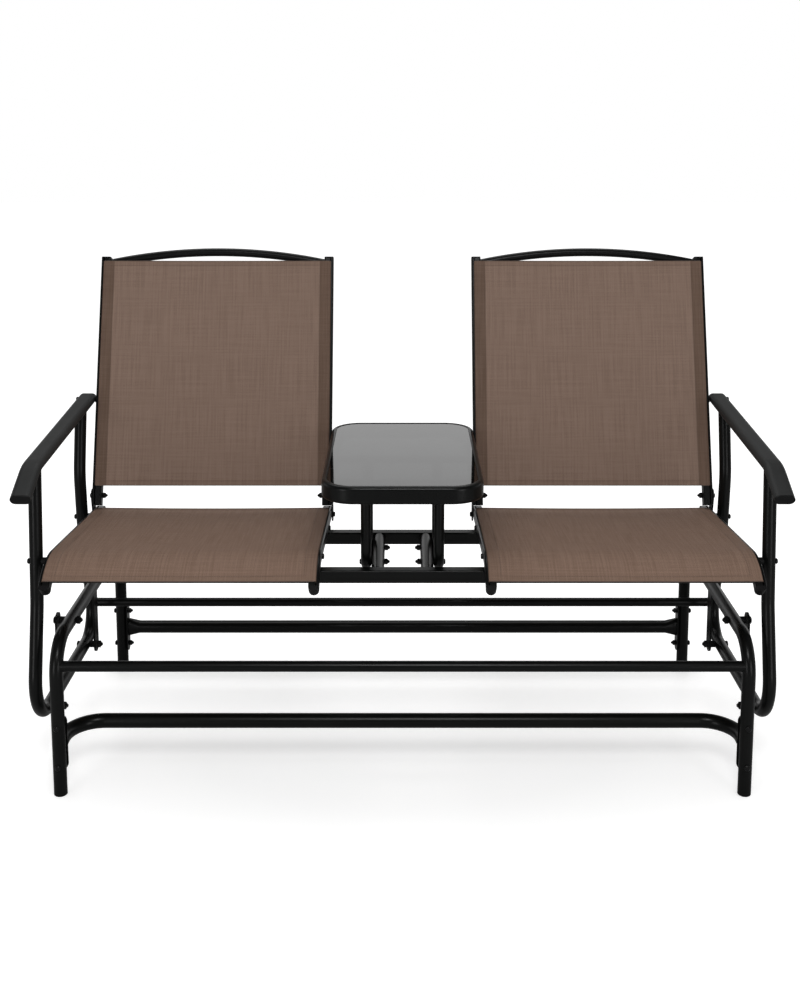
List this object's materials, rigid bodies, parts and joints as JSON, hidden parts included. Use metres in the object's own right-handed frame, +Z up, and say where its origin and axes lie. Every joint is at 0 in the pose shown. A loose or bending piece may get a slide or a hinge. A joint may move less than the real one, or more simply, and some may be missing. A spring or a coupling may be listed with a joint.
{
  "type": "porch glider loveseat",
  "caption": "Two-seat porch glider with brown sling seats and a glass table between them, hung on swinging links from a black tube base.",
  "frame": {"origin": "on the floor under the middle of the bounding box", "axes": "+X to the right along the width, +Y to the back, +Z up"},
  "size_m": [1.426, 0.6314, 0.9628],
  "materials": {
    "coated_steel": "black powder coat, semi-gloss",
    "coated_aluminium": "black powder coat, semi-gloss",
    "black_steel": "black zinc fasteners",
    "black_plastic": "moulded black plastic",
    "nylon": "nylon bush",
    "sling_fabric": "brown vinyl-coated polyester mesh",
    "spline_cord": "plastic spline cord",
    "tinted_glass": "tinted tempered glass",
    "clear_pad": "soft clear pad"
  },
  "bodies": {
    "base": {"base_frame_left": "coated_steel", "base_frame_right": "coated_steel", "foot_bar_bolts": "black_steel", "foot_plugs": "black_plastic", "front_cross_bar": "coated_steel", "front_foot_bar": "coated_steel", "rear_bar_bolts": "black_steel", "rear_cross_bar": "coated_steel", "upper_pivot_bolts": "black_steel", "upper_pivot_spacers": "black_plastic"},
    "front_left_hanger": {"front_left_link": "coated_steel", "front_left_link_bushes": "nylon"},
    "front_right_hanger": {"front_right_link": "coated_steel", "front_right_link_bushes": "nylon"},
    "rear_left_hanger": {"rear_left_link": "coated_steel", "rear_left_link_bushes": "nylon"},
    "rear_right_hanger": {"rear_right_link": "coated_steel", "rear_right_link_bushes": "nylon"},
    "carriage": {"arm_frame_bolts": "black_steel", "arm_frame_left": "coated_steel", "arm_frame_right": "coated_steel", "arm_frame_spacers": "black_plastic", "armrest_bolts": "black_steel", "armrest_caps": "black_plastic", "armrest_left": "coated_steel", "armrest_right": "coated_steel", "armrest_spacers": "black_plastic", "back_bracket_bolts": "black_steel", "back_brackets": "coated_steel", "carriage_tie_bar": "coated_steel", "cross_rail_caps": "black_plastic", "glass_pads": "clear_pad", "left_back_sling": "sling_fabric", "left_head_bar": "coated_steel", "left_inner_back_rail": "coated_aluminium", "left_inner_seat_rail": "coated_aluminium", "left_outer_back_rail": "coated_aluminium", "left_outer_seat_rail": "coated_aluminium", "left_seat_sling": "sling_fabric", "lower_pivot_bolts": "black_steel", "lower_pivot_spacers": "black_plastic", "rail_plugs": "black_plastic", "right_back_sling": "sling_fabric", "right_head_bar": "coated_steel", "right_inner_back_rail": "coated_aluminium", "right_inner_seat_rail": "coated_aluminium", "right_outer_back_rail": "coated_aluminium", "right_outer_seat_rail": "coated_aluminium", "right_seat_sling": "sling_fabric", "seat_cross_rail_front": "coated_steel", "seat_cross_rail_rear": "coated_steel", "seat_rail_bolts": "black_steel", "sling_splines": "spline_cord", "table_bars": "coated_steel", "table_glass": "tinted_glass", "table_leg_bolts": "black_steel", "table_leg_frame": "coated_steel", "table_rim": "coated_steel"}
  },
  "joints": [
    {"name": "glide", "type": "hinge", "parent": "base", "child": "rear_left_hanger", "pos_m": [-0.665, 0.11078, 0.295], "axis": [1, 0, 0], "range_deg": [-14, 14]},
    {"name": "rear_right_swing", "type": "hinge", "parent": "base", "child": "rear_right_hanger", "pos_m": [0.665, 0.11078, 0.295], "axis": [1, 0, 0], "range_deg": [-14, 14]},
    {"name": "front_left_swing", "type": "hinge", "parent": "base", "child": "front_left_hanger", "pos_m": [-0.665, -0.18322, 0.295], "axis": [1, 0, 0], "range_deg": [-14, 14]},
    {"name": "front_right_swing", "type": "hinge", "parent": "base", "child": "front_right_hanger", "pos_m": [0.665, -0.18322, 0.295], "axis": [1, 0, 0], "range_deg": [-14, 14]},
    {"name": "carriage_level", "type": "hinge", "parent": "rear_left_hanger", "child": "carriage", "pos_m": [-0.665, 0.11078, 0.12], "axis": [1, 0, 0], "range_deg": [-14, 14]}
  ],
  "couplings": [
    {"joint": "rear_right_swing", "follows": "glide", "ratio": 1},
    {"joint": "front_left_swing", "follows": "glide", "ratio": 1},
    {"joint": "front_right_swing", "follows": "glide", "ratio": 1},
    {"joint": "carriage_level", "follows": "glide", "ratio": -1}
  ]
}
